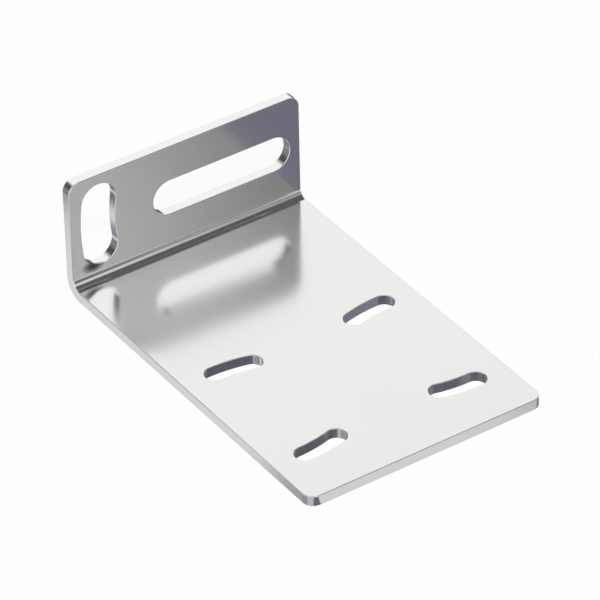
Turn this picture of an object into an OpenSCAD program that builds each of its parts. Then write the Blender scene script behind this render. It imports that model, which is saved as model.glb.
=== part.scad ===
// Sensor mounting bracket: one strip of sheet steel, punched flat and folded once.
// The base lies on the XY plane. The flange stands up at the +Y end.
// The origin is on the underside, in the middle of the base's outline.

/* [Sheet] */
// Thickness of the sheet
sheet_t = 1.9; // [1.2:0.1:3]
// Width of the strip, along the bend
strip_w = 45; // [44:1:60]
// Radius of the inside of the bend
bend_r = 1.6; // [1:0.1:4]
// Radius to which the punched edges are tumbled
edge_r = 0.25; // [0.1:0.05:0.4]

/* [Base] */
// Length of the base, from the flange's back to the front edge
base_length = 70; // [52:1:100]
// Radius of the base's two corners, in plan
base_corner_r = 2; // [1:0.5:5]

/* [Flange] */
// Height of the flange above the underside
flange_height = 22.2; // [20:0.2:36]
// Radius of the flange's two corners
flange_corner_r = 2; // [1:0.5:4]

/* [Sensor slots] */
// Distance between the sensor's two screws
sensor_pitch = 25.4; // [20:0.2:28]
// Angle through which the sensor can be swung, in degrees
sensor_swing = 15; // [5:1:20]
// Width of a sensor slot
sensor_slot_w = 3.6; // [3:0.1:5]
// Distance between the left and the right pivots
sensor_pivot_span = 33; // [30:0.5:36]
// Distance from the front edge to the front pivots
sensor_front_margin = 10; // [6:0.5:14]

/* [Fixing slots] */
// Width of the level slot and of the curved slot
fixing_slot_w = 6.6; // [5:0.1:8]
// Length of the level slot, end to end
level_slot_length = 27; // [16:0.5:28]
// Metal left between a fixing slot and the side of the flange
fixing_side_margin = 2; // [1.5:0.1:4]
// Metal left between the curved slot and the top of the flange
fixing_top_margin = 1.9; // [1.5:0.1:4]
// Flat metal left between the curved slot and the bend
fixing_bend_margin = 0.6; // [0.5:0.1:3]

/* [Hidden] */
$fn = 96;
right_angle = 90;
half_turn = 180;
// How far a cutter runs past the faces of the sheet
cut_past = 1;
// Depth of the rounding on a slot's rim, which runs out on the face at a slight angle
rim_depth = 0.9 * edge_r;
// A curved slot's round ends are this much narrower on each side, so that they start clear of its walls
end_step = 0.01;
// Radius of the outside of the bend
bend_outer_r = bend_r + sheet_t;
// Flat lengths that the bend leaves
base_flat = base_length - bend_outer_r;
flange_flat = flange_height - bend_outer_r;
// Front edge, back face and bend axis, along Y
front_y = -base_length / 2;
back_y = base_length / 2;
bend_y = back_y - bend_outer_r;
// Pivots of the sensor slots: each slot swings about the pivot across from it
pivot_x = sensor_pivot_span / 2;
front_pivot_y = front_y + sensor_front_margin;
rear_pivot_y = front_pivot_y + sensor_pitch;
// The level slot's far end is the pivot of the curved slot
fixing_pivot_x = strip_w / 2 - fixing_side_margin - fixing_slot_w / 2;
level_run = level_slot_length - fixing_slot_w;
fixing_swing_r = strip_w - 2 * fixing_side_margin - fixing_slot_w;
// The curved slot takes up the flat height of the flange, and the level slot sits at its middle
curved_top = flange_height - fixing_top_margin;
curved_bottom = bend_outer_r + fixing_bend_margin;
curved_travel = curved_top - curved_bottom - fixing_slot_w;
fixing_height = (curved_top + curved_bottom) / 2;
fixing_swing = 2 * asin(curved_travel / 2 / fixing_swing_r);

// Section of the sheet from an inner line at x = 0 out to a rounded edge at x = reach
module edge_section(reach) {
  square([reach - edge_r, sheet_t]);
  translate([0, edge_r])
    square([reach, sheet_t - 2 * edge_r]);
  for (height = [edge_r, sheet_t - edge_r])
    translate([reach - edge_r, height])
      circle(r = edge_r);
}

// Section across the whole strip, with both edges rounded
module strip_section() {
  for (side = [0, 1])
    mirror([side, 0])
      edge_section(strip_w / 2);
}

// Flat leg of the strip from y = 0 to a free end at y = reach, lying on z = 0
module flat_leg(reach, corner_r) {
  rotate([right_angle, 0, 0])
    mirror([0, 0, 1])
      linear_extrude(height = reach - corner_r)
        strip_section();
  translate([-strip_w / 2 + corner_r, reach - corner_r, 0])
    rotate([right_angle, 0, right_angle])
      linear_extrude(height = strip_w - 2 * corner_r)
        edge_section(corner_r);
  for (side = [0, 1])
    mirror([side, 0, 0])
      translate([strip_w / 2 - corner_r, reach - corner_r, 0])
        rotate_extrude(angle = right_angle)
          edge_section(corner_r);
}

// Quarter turn of the strip about the X axis, from straight down to straight back
module bend() {
  rotate([0, right_angle, 0])
    rotate_extrude(angle = right_angle)
      translate([bend_r, 0])
        rotate(-right_angle)
          strip_section();
}

// Half section of a slot's cutter, which leaves the rims of the slot rounded
module slot_half_section(slot_w) {
  difference() {
    translate([0, -cut_past])
      square([slot_w / 2 + edge_r, sheet_t + 2 * cut_past]);
    translate([slot_w / 2, rim_depth])
      square([2 * edge_r, sheet_t - 2 * rim_depth]);
    for (height = [rim_depth, sheet_t - rim_depth])
      translate([slot_w / 2 + edge_r, height])
        circle(r = edge_r);
  }
}

// Whole section of a slot's cutter
module slot_section(slot_w) {
  for (side = [0, 1])
    mirror([side, 0])
      slot_half_section(slot_w);
}

// Round end of a slot's cutter, on the -Y side of its centre
module slot_end(slot_w) {
  rotate(-half_turn)
    rotate_extrude(angle = half_turn)
      slot_half_section(slot_w);
}

// Everything on the -Y side of the origin, out to a reach
module minus_y_side(reach) {
  translate([-reach, -2 * reach, -2 * cut_past])
    cube([2 * reach, 2 * reach, sheet_t + 4 * cut_past]);
}

// Cutter for a straight slot from the origin back along -X
module straight_slot(slot_w, run) {
  rotate([right_angle, 0, -right_angle])
    linear_extrude(height = run)
      slot_section(slot_w);
  rotate(right_angle)
    slot_end(slot_w);
  translate([-run, 0, 0])
    rotate(-right_angle)
      slot_end(slot_w);
}

// Cutter for a slot on an arc about the origin, from one angle through a swing.
// Its middle is a ring trimmed to the swing, and a round end is set on each cut.
module arc_slot(slot_w, radius, from, swing) {
  end_w = slot_w - 2 * end_step;
  difference() {
    rotate_extrude()
      translate([radius, 0])
        slot_section(slot_w);
    rotate(from)
      minus_y_side(radius + slot_w);
    rotate(from + swing)
      mirror([0, 1, 0])
        minus_y_side(radius + slot_w);
  }
  rotate(from)
    translate([radius, 0, 0])
      slot_end(end_w);
  rotate(from + swing)
    mirror([0, 1, 0])
      translate([radius, 0, 0])
        slot_end(end_w);
}

// The four sensor slots in the base, each curving in from its own pivot
module sensor_slots() {
  for (side = [0, 1])
    mirror([side, 0, 0]) {
      translate([pivot_x, front_pivot_y, 0])
        arc_slot(sensor_slot_w, sensor_pitch, right_angle, sensor_swing);
      translate([pivot_x, rear_pivot_y, 0])
        arc_slot(sensor_slot_w, sensor_pitch, -right_angle - sensor_swing, sensor_swing);
    }
}

// The level slot and the curved slot, drawn on a flange that lies flat
module fixing_slots() {
  translate([fixing_pivot_x, fixing_height, 0]) {
    straight_slot(fixing_slot_w, level_run);
    arc_slot(fixing_slot_w, fixing_swing_r, half_turn - fixing_swing / 2, fixing_swing);
  }
}

// The base, from the bend to its front edge, with the sensor slots
module base() {
  difference() {
    translate([0, bend_y, 0])
      rotate(half_turn)
        flat_leg(base_flat, base_corner_r);
    sensor_slots();
  }
}

// The flange, from the bend to its top, with the fixing slots
module flange() {
  translate([0, back_y, 0])
    rotate([right_angle, 0, 0])
      difference() {
        translate([0, bend_outer_r, 0])
          flat_leg(flange_flat, flange_corner_r);
        fixing_slots();
      }
}

// The whole strip: the base and the flange, joined by the bend
module bracket() {
  color([0.80, 0.81, 0.83])
    union() {
      base();
      flange();
      translate([0, bend_y, bend_outer_r])
        bend();
    }
}

bracket();
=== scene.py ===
from math import asin, cos, pi, radians, sin

import bmesh
import bpy
from mathutils import Euler, Matrix, Vector


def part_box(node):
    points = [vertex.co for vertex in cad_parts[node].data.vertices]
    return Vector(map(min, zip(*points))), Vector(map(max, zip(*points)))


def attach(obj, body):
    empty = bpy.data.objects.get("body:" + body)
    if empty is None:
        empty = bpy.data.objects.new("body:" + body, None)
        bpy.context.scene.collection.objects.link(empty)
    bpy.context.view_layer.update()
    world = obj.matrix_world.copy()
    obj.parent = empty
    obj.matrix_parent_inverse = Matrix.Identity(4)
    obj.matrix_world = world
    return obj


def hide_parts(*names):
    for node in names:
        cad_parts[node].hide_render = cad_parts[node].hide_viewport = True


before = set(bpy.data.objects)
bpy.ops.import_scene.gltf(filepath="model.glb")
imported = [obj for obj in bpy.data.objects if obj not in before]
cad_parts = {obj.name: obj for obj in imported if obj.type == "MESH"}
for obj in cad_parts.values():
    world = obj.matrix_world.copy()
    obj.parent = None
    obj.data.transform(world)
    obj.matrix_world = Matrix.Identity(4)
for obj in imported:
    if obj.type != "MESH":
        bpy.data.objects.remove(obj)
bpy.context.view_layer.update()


# Bracket. The real one is a strip of bright cold-rolled steel, 1.9 mm thick. It is punched flat
# and folded once at a right angle, and its punched edges are tumbled smooth. The base lies flat,
# and the flange stands up at its back.
MM = 0.001
lowest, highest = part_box("bracket")
half_width = highest.x
front_edge, back_face, flange_top = lowest.y, highest.y, highest.z
sheet_thickness = 1.9 * MM
bend_inside = 1.6 * MM
bend_outside = bend_inside + sheet_thickness
bend_line = back_face - bend_outside
corner_radius = 2 * MM
corner_steps = 12
arc_steps = 24
half_turn = pi
quarter_turn = pi / 2
same_length = 0.01 * MM
weld_distance = 0.001 * MM


def close(a, b):
    """Tells whether two lengths are the same."""
    return abs(a - b) < same_length


def pick_edges(piece, wanted):
    """Selects the edges of a piece in edit mode whose two ends pass a test."""
    bpy.ops.mesh.select_mode(type="EDGE")
    bpy.ops.mesh.select_all(action="DESELECT")
    form = bmesh.from_edit_mesh(piece.data)
    for edge in form.edges:
        edge.select_set(wanted(edge.verts[0].co, edge.verts[1].co))
    form.select_flush_mode()
    bmesh.update_edit_mesh(piece.data)


def apply(piece, name, kind, **settings):
    """Adds a modifier to a piece and applies it."""
    modifier = piece.modifiers.new(name, kind)
    for setting, value in settings.items():
        setattr(modifier, setting, value)
    bpy.context.view_layer.objects.active = piece
    bpy.ops.object.modifier_apply(modifier=modifier.name)


# The strip starts as the flat underside of the base.
bpy.ops.object.select_all(action="DESELECT")
bpy.ops.mesh.primitive_plane_add(size=1, location=(0, 0, 0))
bracket = bpy.context.object
bracket.name = "bracket_sheet"
bpy.ops.object.mode_set(mode="EDIT")
bpy.ops.transform.resize(value=(2 * half_width, bend_line - front_edge, 1))
bpy.ops.transform.translate(value=(0, (front_edge + bend_line) / 2, 0))

# Its back edge turns up round the bend and rises to the top of the flange.
pick_edges(bracket, lambda a, b: close(a.y, bend_line) and close(b.y, bend_line))
bpy.ops.mesh.spin(steps=arc_steps, angle=quarter_turn, center=(0, bend_line, bend_outside), axis=(-1, 0, 0))
bpy.ops.mesh.extrude_region_move(TRANSFORM_OT_translate={"value": (0, 0, flange_top - bend_outside)})
bpy.ops.mesh.select_all(action="SELECT")
bpy.ops.mesh.remove_doubles(threshold=weld_distance)
bpy.ops.mesh.normals_make_consistent(inside=False)
bpy.ops.object.mode_set(mode="OBJECT")
if bracket.data.polygons[0].normal.z > 0:
    bracket.data.flip_normals()
apply(bracket, "sheet", "SOLIDIFY", thickness=sheet_thickness, offset=-1, use_even_offset=True)

# The free corners of the base and of the flange are rounded.
bpy.ops.object.mode_set(mode="EDIT")
pick_edges(bracket, lambda a, b: a.x * b.x > 0 and close(abs(a.x), half_width) and close(a.x, b.x) and (
    close(a.y, front_edge) and close(b.y, front_edge) or close(a.z, flange_top) and close(b.z, flange_top)))
bpy.ops.mesh.bevel(offset=corner_radius, segments=corner_steps, affect="EDGES")
bpy.ops.object.mode_set(mode="OBJECT")


# Slots. The real ones are punched through the sheet before it is folded. The four in the base are arcs,
# each about the outer end of the slot across from it, so that a sensor can be swung on either screw.
# The flange has a level slot and, swinging about its far end, a curved one.
sensor_pitch = 25.4 * MM
sensor_swing = radians(15)
sensor_slot_width = 3.6 * MM
sensor_pivot_x = 16.5 * MM
sensor_front_pivot_y = front_edge + 10 * MM
sensor_rear_pivot_y = sensor_front_pivot_y + sensor_pitch
fixing_slot_width = 6.6 * MM
fixing_margin = 2 * MM
level_slot_length = 27 * MM
curved_slot_top = flange_top - 1.9 * MM
curved_slot_bottom = bend_outside + 0.6 * MM
fixing_height = (curved_slot_top + curved_slot_bottom) / 2
fixing_pivot_x = half_width - fixing_margin - fixing_slot_width / 2
fixing_reach = 2 * fixing_pivot_x
fixing_swing = 2 * asin((curved_slot_top - curved_slot_bottom - fixing_slot_width) / 2 / fixing_reach)
foot_lift = 0.5 * MM
punch_past = 2 * MM


def punch(name, start, turns):
    """Makes a slot's punch lying flat. A point is carried along the slot's outline by turns, in order.

    A turn is the centre and the angle of an arc, or a straight step with the angle left out.
    """
    bpy.ops.object.select_all(action="DESELECT")
    bpy.ops.mesh.primitive_plane_add(size=MM, location=(0, 0, 0))
    piece = bpy.context.object
    piece.name = name
    bpy.ops.object.mode_set(mode="EDIT")
    bpy.ops.mesh.select_mode(type="VERT")
    bpy.ops.mesh.merge(type="CENTER")
    bpy.ops.transform.translate(value=(*start, 0))
    for step, angle in turns:
        if angle is None:
            bpy.ops.mesh.extrude_region_move(TRANSFORM_OT_translate={"value": (*step, 0)})
        else:
            axis = (0, 0, -1) if angle > 0 else (0, 0, 1)
            bpy.ops.mesh.spin(steps=arc_steps, angle=abs(angle), center=(*step, 0), axis=axis,
                              use_auto_merge=False)
    bpy.ops.mesh.select_all(action="SELECT")
    bpy.ops.mesh.remove_doubles(threshold=weld_distance)
    bpy.ops.mesh.select_all(action="SELECT")
    bpy.ops.mesh.edge_face_add()
    depth = sheet_thickness + 2 * punch_past
    bpy.ops.mesh.extrude_region_move(TRANSFORM_OT_translate={"value": (0, 0, depth)})
    bpy.ops.mesh.select_all(action="SELECT")
    bpy.ops.transform.translate(value=(0, 0, -punch_past))
    bpy.ops.mesh.normals_make_consistent(inside=False)
    bpy.ops.object.mode_set(mode="OBJECT")
    return piece


def arc_punch(name, pivot, radius, begin, swing, width):
    """Makes the punch of a slot on an arc about a pivot, from one angle through a swing."""
    def at(distance, angle):
        return Vector((pivot[0] + distance * cos(angle), pivot[1] + distance * sin(angle)))

    end = begin + swing
    return punch(name, at(radius + width / 2, begin), [
        (pivot, swing),
        (at(radius, end), half_turn),
        (pivot, -swing),
        (at(radius, begin), half_turn),
    ])


sensor_punches = []
for side in (-1, 1):
    pivot_x = side * sensor_pivot_x
    rear_begin = quarter_turn if side > 0 else quarter_turn - sensor_swing
    front_begin = -quarter_turn - sensor_swing if side > 0 else -quarter_turn
    sensor_punches += [
        arc_punch("rear_slot", (pivot_x, sensor_front_pivot_y), sensor_pitch, rear_begin, sensor_swing,
                  sensor_slot_width),
        arc_punch("front_slot", (pivot_x, sensor_rear_pivot_y), sensor_pitch, front_begin, sensor_swing,
                  sensor_slot_width),
    ]

# The curved slot's foot stops a little above the end of its swing, clear of the bend.
level_run = level_slot_length - fixing_slot_width
level_start = (fixing_pivot_x, fixing_height - fixing_slot_width / 2)
fixing_punches = [
    punch("level_slot", level_start, [
        ((fixing_pivot_x, fixing_height), half_turn),
        ((-level_run, 0), None),
        ((fixing_pivot_x - level_run, fixing_height), half_turn),
    ]),
    arc_punch("curved_slot", (fixing_pivot_x, fixing_height), fixing_reach,
              half_turn - fixing_swing / 2, fixing_swing - foot_lift / fixing_reach, fixing_slot_width),
]
for piece in fixing_punches:
    piece.data.transform(Matrix.Translation((0, back_face, 0)) @ Matrix.Rotation(quarter_turn, 4, "X"))

for piece in sensor_punches + fixing_punches:
    apply(bracket, "slot", "BOOLEAN", operation="DIFFERENCE", solver="EXACT", object=piece)
    bpy.data.objects.remove(piece)


# Edges. The real bracket is tumbled in a drum after it is punched, which takes the burr off and
# rounds every edge that the punch and the shear left by about a tenth of a millimetre.
tumbled_radius = 0.11 * MM
sharp_edge = radians(40)
edge_steps = 4
bpy.ops.object.select_all(action="DESELECT")
bracket.select_set(True)
bpy.context.view_layer.objects.active = bracket
bpy.ops.object.shade_smooth()
apply(bracket, "tumbled", "BEVEL", width=tumbled_radius, segments=edge_steps, limit_method="ANGLE",
      angle_limit=sharp_edge, harden_normals=True, use_clamp_overlap=False, loop_slide=False)
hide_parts("bracket")
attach(bracket, "root")


# Steel. The real sheet is bright cold-rolled steel with a smooth satin face, faintly streaked along
# the strip by the rolls. The cut edges are duller and finely pitted, as the shear leaves them.
class Shade:
    """A socket of a node tree. Sums, differences and products of it add Math nodes to the tree."""

    def __init__(self, tree, socket=None):
        self.tree = tree
        self.socket = socket

    def node(self, kind, settings, inputs, output=0):
        """Adds a node with its settings, gives its inputs values or links, and returns one of its outputs."""
        made = self.tree.nodes.new("ShaderNode" + kind)
        for name, setting in settings.items():
            if name == "stops":
                stops = made.color_ramp.elements
                while len(stops) < len(setting):
                    stops.new(1)
                for stop, (position, tone) in zip(stops, setting):
                    stop.position = position
                    stop.color = (*tone, 1)
            else:
                setattr(made, name, setting)
        for name, value in inputs.items():
            if isinstance(value, Shade):
                self.tree.links.new(value.socket, made.inputs[name])
            else:
                made.inputs[name].default_value = value
        return Shade(self.tree, made.outputs[output] if made.outputs else None)

    def combine(self, operation, first, second):
        return self.node("Math", {"operation": operation}, {0: first, 1: second})

    def __add__(self, other):
        return self.combine("ADD", self, other)

    def __sub__(self, other):
        return self.combine("SUBTRACT", self, other)

    def __rsub__(self, other):
        return self.combine("SUBTRACT", other, self)

    def __mul__(self, other):
        return self.combine("MULTIPLY", self, other)

    __radd__ = __add__
    __rmul__ = __mul__


def new_material(name):
    """Makes an empty material and returns it with its node tree."""
    material = bpy.data.materials.new(name)
    material.use_nodes = True
    material.node_tree.nodes.clear()
    return material, Shade(material.node_tree)


def grey(*levels, tint=(1, 1, 1)):
    """Gives the stops of a ramp from pairs of a position and a level of grey, with a tint."""
    return [(position, tuple(level * part for part in tint)) for position, level in levels]


multiply = {"data_type": "RGBA", "blend_type": "MULTIPLY"}
sheet_finish = 0.145
cut_finish = 0.2
bright = (0.866, 0.849, 0.841, 1)
cut_bright = (0.9, 0.9, 0.905, 1)
streak_scale = (2600, 70, 70)
cloud_scale = 90
pit_scale = 3200
noise_middle = 0.5
streak_roughness = 0.02
cloud_roughness = 0.04
pit_roughness = 0.12
pit_height = 1.5
relief = 0.25e-6

# A face is cut where it stands across the sheet rather than along it.
side_limit = 0.95
across_limit = 0.3
cut_marks = bracket.data.attributes.new("cut", "FLOAT", "FACE").data
for polygon in bracket.data.polygons:
    along = polygon.normal.z if polygon.center.y < bend_line else polygon.normal.y
    in_bend = polygon.center.y > bend_line and polygon.center.z < bend_outside
    across = abs(polygon.normal.x) > side_limit if in_bend else abs(along) < across_limit
    cut_marks[polygon.index].value = 1 if across else 0

steel, shade = new_material("bright_steel")
cut = shade.node("Attribute", {"attribute_name": "cut"}, {}, "Fac")
on_sheet = shade.node("TexCoord", {}, {}, "Object")
rolled = shade.node("Mapping", {}, {"Vector": on_sheet, "Scale": streak_scale})
streaks = shade.node("TexNoise", {}, {"Vector": rolled, "Scale": 1, "Detail": 3})
clouds = shade.node("TexNoise", {}, {"Vector": on_sheet, "Scale": cloud_scale, "Detail": 2})
pits = shade.node("TexNoise", {}, {"Vector": on_sheet, "Scale": pit_scale, "Detail": 2})
sheet_roughness = (sheet_finish + streak_roughness * (streaks - noise_middle)
                   + cloud_roughness * (clouds - noise_middle))
cut_roughness = cut_finish + pit_roughness * (pits - noise_middle)
roughness = cut * cut_roughness + (1 - cut) * sheet_roughness
clean = shade.node("Mix", {"data_type": "RGBA"}, {0: cut, 6: bright, 7: cut_bright}, 2)

# The face has a painted dark reflection under the foot of the curved slot, close to the bend. It stands in
# for the mirror image in a shallow dent that the bend pulls there, which the mesh doesn't have.
dimple_reflection_middle = Vector((-18.5, 33.1, 4.8)) * MM
dimple_reflection_reach = Vector((2.4, 0.9, 1.4)) * MM
dimple_reflection_spot = shade.node("Mapping", {}, {
    "Vector": on_sheet,
    "Location": [-centre / reach for centre, reach in zip(dimple_reflection_middle, dimple_reflection_reach)],
    "Scale": [1 / reach for reach in dimple_reflection_reach],
})
dimple_reflection_distance = shade.node("VectorMath", {"operation": "LENGTH"}, {0: dimple_reflection_spot}, "Value")
dimple_reflection_tones = grey((0, 0.08), (0.4, 0.16), (0.75, 0.6), (1, 1))
dimple_reflection = shade.node("ValToRGB", {"stops": dimple_reflection_tones}, {"Fac": dimple_reflection_distance})
# The base colour is darkened by the painted dark reflection.
colour = shade.node("Mix", multiply, {0: 1.0, 6: clean, 7: dimple_reflection}, 2)

height = cut * pits * pit_height + (1 - cut) * streaks
normal = shade.node("Bump", {}, {"Strength": 1, "Distance": relief, "Height": height})
face = shade.node("BsdfPrincipled", {}, {
    "Base Color": colour, "Metallic": 1, "Roughness": roughness, "Normal": normal,
})
shade.node("OutputMaterial", {}, {"Surface": face})
bracket.data.materials.clear()
bracket.data.materials.append(steel)


# Floor. A plain white sheet of paper that the bracket stands on, lit by the lamp so that it takes the
# bracket's shadow. The camera sees it as nearly pure white, and from below it is clear, so that the
# underside shows. It lies just under the bracket, so that their faces don't coincide.
floor_size = 4
floor_gap = 0.02 * MM
paper_grey = (0.8, 0.8, 0.8, 1)
paper_glow = 0.95
bpy.ops.object.select_all(action="DESELECT")
bpy.ops.mesh.primitive_plane_add(size=floor_size, location=(0, 0, -floor_gap))
floor = bpy.context.object
floor.name = "floor"
paper, shade = new_material("white_paper")
seen = sum((shade.node("LightPath", {}, {}, "Is " + ray + " Ray") for ray in ("Glossy", "Transmission")),
           shade.node("LightPath", {}, {}, "Is Camera Ray"))
lit = shade.node("BsdfDiffuse", {}, {"Color": paper_grey})
white = shade.node("Emission", {}, {"Color": (1, 1, 1, 1), "Strength": 1})
from_above = shade.node("MixShader", {}, {0: paper_glow * seen, 1: lit, 2: white})
clear = shade.node("BsdfTransparent", {}, {})
from_below = shade.node("NewGeometry", {}, {}, "Backfacing")
sheet = shade.node("MixShader", {}, {0: from_below, 1: from_above, 2: clear})
shade.node("OutputMaterial", {}, {"Surface": sheet})
floor.data.materials.append(paper)
floor.visible_glossy = False


# Light. The bracket stands in a white room, with one soft lamp to the front left of it. The room
# gives the paper less light than it shows, so that the lamp can cast a shadow.
def towards(azimuth, elevation):
    """Gives the direction at an azimuth, clockwise from the back, and an elevation, both in degrees."""
    turned, raised = radians(azimuth), radians(elevation)
    return Vector((sin(turned) * cos(raised), cos(turned) * cos(raised), sin(raised)))


room_dimming = 0.75
world = bpy.data.worlds.new("white_room")
bpy.context.scene.world = world
world.use_nodes = True
world.node_tree.nodes.clear()
shade = Shade(world.node_tree)
indirect = shade.node("LightPath", {}, {}, "Is Diffuse Ray")
room = shade.node("Background", {}, {"Color": (1, 1, 1, 1), "Strength": 1 - room_dimming * indirect})
shade.node("OutputWorld", {}, {"Surface": room})
lamp_from = towards(-150, 50)
lamp_turn = lamp_from.to_track_quat("Z", "Y").to_euler()
bpy.ops.object.light_add(type="SUN", location=lamp_from, rotation=lamp_turn)
lamp = bpy.context.object
lamp.name = "soft_lamp"
lamp.data.energy = 3
lamp.data.angle = radians(12)
lamp.visible_glossy = False


# Cards. Grey cards hang round the bracket, as round any bright metal in a studio, and only the metal
# sees them. They give the bend its dark line, and the flange and the slots their shading.
def card(name, place, facing, size, rising, across=None, lean=0):
    """Hangs a card at a place, facing one way. Its tone changes upwards, and may fade across it."""
    bpy.ops.object.select_all(action="DESELECT")
    card_turn = facing.to_track_quat("Z", "Y").to_euler()
    bpy.ops.mesh.primitive_plane_add(size=1, location=place, rotation=card_turn)
    piece = bpy.context.object
    piece.name = name
    piece.scale = (*size, 1)
    paint, shade = new_material(name)
    spot = shade.node("TexCoord", {}, {}, "UV")
    sideways = shade.node("SeparateXYZ", {}, {"Vector": spot}, "X")
    upwards = shade.node("SeparateXYZ", {}, {"Vector": spot}, "Y")
    tone = shade.node("ValToRGB", {"stops": rising}, {"Fac": upwards})
    if across:
        fade = shade.node("ValToRGB", {"stops": across}, {"Fac": sideways + lean * upwards})
        tone = shade.node("Mix", multiply, {0: 1.0, 6: tone, 7: fade}, 2)
    glow = shade.node("Emission", {}, {"Color": tone, "Strength": 1})
    shade.node("OutputMaterial", {}, {"Surface": glow})
    piece.data.materials.append(paint)
    piece.visible_camera = False
    piece.visible_diffuse = False
    piece.visible_shadow = False
    piece.visible_transmission = False


def plain(tone):
    """Gives the stops of a card of one tone."""
    return [(0, tone), (1, tone)]


up = Vector((0, 0, 1))
open_white = (1, 1, 1)

# The card overhead makes the dark line in the bend. It is white along its middle, which keeps the base
# bright from above.
overhead_dark = (0.112, 0.105, 0.104)
card("overhead_card", Vector((0, -0.015, 0.3)), -up, (0.54, 0.47), plain(open_white),
     [(0.36, overhead_dark), (0.44, open_white), (0.56, open_white), (0.64, overhead_dark)])

# Three cards in front, one above the other, are what the flange, its image in the base and the bend
# mirror. Left is as seen from the bracket.
front_way = towards(146.3, 0)
leftwards = up.cross(front_way)
front_distance = 0.4
cool = (0.983, 1, 1.003)
warm = (1.03, 1, 0.995)
cooler = (0.91, 0.995, 1.03)
fade_lean = 0.35
fade_shift = fade_lean * 0.25
card("front_top_card", front_way * front_distance + up * 0.38, -front_way, (0.4, 0.3),
     grey((0, 0.65), (0.07, 0.55), (0.233, 0.5), tint=cool)
     + grey((0.302, 0.7), tint=warm)
     + grey((0.345, 0.88), (0.46, 0.98), (0.52, 0.15), tint=cooler),
     grey((0.34 + fade_shift, 0.15), (0.5125 + fade_shift, 1)), fade_lean)
card("front_line_card", front_way * front_distance + up * 0.17, -front_way, (0.4, 0.12),
     grey((0, 0.34), (0.3, 0.42), (0.5, 1.05), (1, 1.05), tint=cool),
     grey((0.5075, 0.38), (0.61, 1)))
card("front_low_card", front_way * front_distance - leftwards * 0.04 - up * 0.1, -front_way, (0.16, 0.42),
     grey((0.71, 0.64), (0.8, 0.58), (0.86, 0.22), (0.93, 0.18), (1, 0.36), tint=cool),
     grey((0.58, 1), (0.66, 0.2)))

# Cards behind and at the right darken the round ends of the flange's slots and its corners.
side_distance = 0.5
back_left_way = towards(-36, 0)
card("back_left_card", back_left_way * side_distance + up * 0.145, -back_left_way, (0.32, 0.79),
     grey((0, 0.2), (0.3, 0.2), (0.37, 0.15), (0.43, 0.08), (0.5, 0.05), (0.7, 0.05),
          (0.78, 0.3), (0.86, 0.7), (1, 1)))
back_right_way = towards(46.5, 0)
card("back_right_card", back_right_way * side_distance - up * 0.11, -back_right_way, (0.2, 0.36),
     grey((0, 0.3), (0.1, 0.1), (0.9, 0.1), (1, 0.5)))
right_way = towards(100, 0)
card("right_card", right_way * side_distance + up * 0.3, -right_way, (0.6, 0.4),
     grey((0, 0.3), (0.15, 0.08), (1, 0.08)))

# Cards under the paper stand in for the paper as the metal mirrors it, because the metal doesn't see the
# paper itself. Their dark violet and grey tones are painted shadow, the bracket's shadow on the paper,
# mirrored in the walls of the slots, the cut edges and the flange's right side. Their pale tones and the
# white strip in front are the lit paper.
low = -0.05
# The violet tones are painted shadow on the paper, as the metal mirrors it.
shadow_violet = (0.178, 0.17, 0.224)
dull_shadow_violet = (0.215, 0.21, 0.25)
deep_shadow_violet = (0.105, 0.095, 0.12)
mid_shadow_violet = (0.22, 0.21, 0.25)
pale_grey = (0.92, 0.93, 0.95)
light_grey = (0.72, 0.73, 0.75)
corner_grey = (0.52, 0.52, 0.54)
side_grey = (0.31, 0.3, 0.33)
card("low_right_shadow_card", Vector((0.092, -0.02, low)), up, (0.09, 0.2), plain(open_white),
     [(0, shadow_violet), (0.74, shadow_violet), (0.84, dull_shadow_violet), (1, dull_shadow_violet)])
card("low_front_shadow_card", Vector((-0.004, -0.055, low)), up, (0.102, 0.13), plain(deep_shadow_violet))
card("low_left_card", Vector((-0.09, -0.015, low)), up, (0.07, 0.05), plain(side_grey))
card("low_corner_card", Vector((-0.085, -0.09, low)), up, (0.06, 0.1), plain(corner_grey))
card("low_back_card", Vector((-0.0315, 0.08, low)), up, (0.157, 0.14),
     grey((0, 0.4), (0.13, 0.4), (0.19, 1), (0.84, 1), (0.92, 0.5), (1, 0.5)),
     [(0, mid_shadow_violet), (0.613, mid_shadow_violet), (0.654, pale_grey), (0.71, pale_grey), (0.735, side_grey),
      (1, side_grey)])
card("low_far_card", Vector((-0.073, 0.105, low + MM)), up, (0.026, 0.03), plain(light_grey))
card("front_strip", Vector((0.024, -0.039, -0.0005)), up, (0.088, 0.0074), plain(open_white),
     grey((0.47, 0.45), (0.6, 0.65), (0.75, 0.68)))


# Camera. It looks down on the bracket from the front left with a long lens, at the angle of the
# photograph, and is turned a little about its own axis.
view_azimuth = radians(-33.66)
view_elevation = radians(36.34)
view_roll = radians(-1.28)
view_distance = 803.7 * MM
aim = Vector((3.287, 5.194, 5.089)) * MM
upright = Euler((quarter_turn - view_elevation, 0, view_azimuth)).to_matrix()
turn = upright @ Matrix.Rotation(view_roll, 3, "Z")
bpy.ops.object.camera_add(location=aim + turn @ Vector((0, 0, view_distance)), rotation=turn.to_euler())
camera = bpy.context.object
camera.data.lens = 298.4
camera.data.sensor_width = 36
bpy.context.scene.camera = camera
bpy.context.scene.view_settings.view_transform = "Standard"
